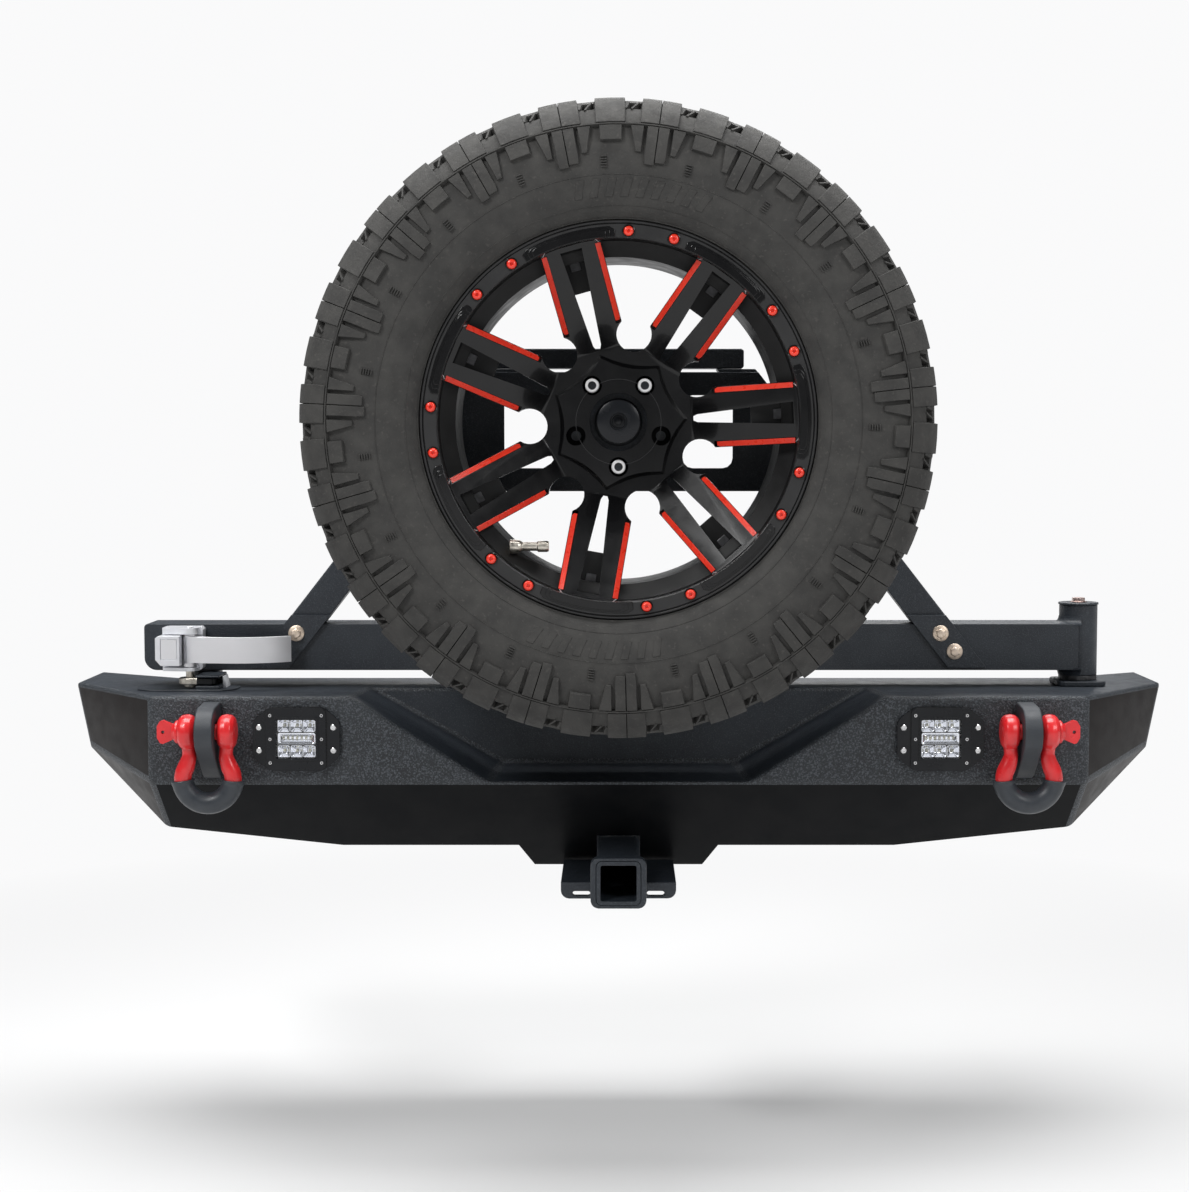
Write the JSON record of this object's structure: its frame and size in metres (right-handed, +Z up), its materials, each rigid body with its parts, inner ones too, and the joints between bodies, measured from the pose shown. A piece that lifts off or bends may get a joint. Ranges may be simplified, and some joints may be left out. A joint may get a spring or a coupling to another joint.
{
  "type": "spare tire carrier",
  "caption": "Swing-out spare tire carrier on a plate-steel rear bumper, with spare wheel, lever latch, tow shackles, flush lights and hitch receiver.",
  "frame": {"origin": "centre of the crossmember plate's mounting face, which bolts to the vehicle", "axes": "+Z up, +Y forwards into the vehicle, +X towards the spindle end, which is the right as seen from behind"},
  "size_m": [1.6898, 0.5667, 1.136],
  "materials": {
    "powder_black": "textured powder coat",
    "plastic_black": "matte",
    "lens": "clear",
    "steel": "bright zinc",
    "bronze": "oiled",
    "rubber": "matte",
    "zinc": "yellow zinc plate",
    "cast_aluminium": "satin",
    "tyre": "matte",
    "wheel_black": "gloss black paint",
    "red_paint": "gloss"
  },
  "bodies": {
    "bumper": {"top_plate": "powder_black", "lower_panel": "powder_black", "recess_panel": "powder_black", "flank_plate_right": "powder_black", "flank_plate_left": "powder_black", "wing_plate_right": "powder_black", "wing_plate_left": "powder_black", "crossmember_plate": "powder_black", "frame_bracket_right": "powder_black", "frame_bracket_left": "powder_black", "receiver_tube": "powder_black", "receiver_collar": "powder_black", "chain_plate_right": "powder_black", "chain_plate_left": "powder_black", "shackle_tab_right": "powder_black", "shackle_tab_left": "powder_black", "light_body_right": "plastic_black", "light_body_left": "plastic_black", "light_lens_right": "lens", "light_lens_left": "lens", "spindle_base_plate": "powder_black", "spindle_shaft": "steel", "thrust_washer": "bronze", "latch_striker": "powder_black", "arm_rest_pad": "rubber"},
    "arm": {"swing_arm_tube": "powder_black", "arm_end_cap": "powder_black", "pivot_sleeve": "powder_black", "bearing_lower": "bronze", "bearing_upper": "bronze", "spindle_cap": "powder_black", "spindle_bolt": "zinc", "frame_leg_right": "powder_black", "frame_leg_left": "powder_black", "foot_plate_right": "powder_black", "foot_plate_left": "powder_black", "foot_bolt_right_1": "zinc", "foot_bolt_right_2": "zinc", "foot_bolt_left_1": "zinc", "foot_bolt_left_2": "zinc", "wheel_mount_plate": "powder_black", "top_crossbar": "powder_black", "stand_off_tube": "powder_black", "hub_flange": "powder_black", "centre_post": "plastic_black", "latch_casting": "cast_aluminium"},
    "wheel": {"tire": "tyre", "wheel_rim": "wheel_black", "lug_nut_1": "steel", "lug_nut_2": "steel", "lug_nut_3": "steel"},
    "latch": {"latch_handle": "cast_aluminium", "latch_shaft": "steel", "latch_claw": "steel"},
    "shackle_right": {"shackle_bow_right": "red_paint", "shackle_pin_right": "red_paint", "shackle_isolator_right": "rubber"},
    "shackle_left": {"shackle_bow_left": "red_paint", "shackle_pin_left": "red_paint", "shackle_isolator_left": "rubber"}
  },
  "joints": [
    {"name": "arm_swing", "type": "hinge", "parent": "bumper", "child": "arm", "pos_m": [0.71, -0.0875, 0.235], "axis": [0, 0, 1], "range_deg": [0, 100]},
    {"name": "wheel_off", "type": "slide", "parent": "arm", "child": "wheel", "axis": [0, -1, 0], "range_m": [0, 0.25]},
    {"name": "latch_turn", "type": "hinge", "parent": "arm", "child": "latch", "pos_m": [-0.648, -0.16, 0.235], "axis": [0, 0, -1], "range_deg": [0, 70]},
    {"name": "shackle_right_swing", "type": "hinge", "parent": "bumper", "child": "shackle_right", "pos_m": [0.598, -0.288, 0.1285], "axis": [-1, 0, 0], "range_deg": [0, 90]},
    {"name": "shackle_left_swing", "type": "hinge", "parent": "bumper", "child": "shackle_left", "pos_m": [-0.598, -0.288, 0.1285], "axis": [-1, 0, 0], "range_deg": [0, 90]}
  ]
}
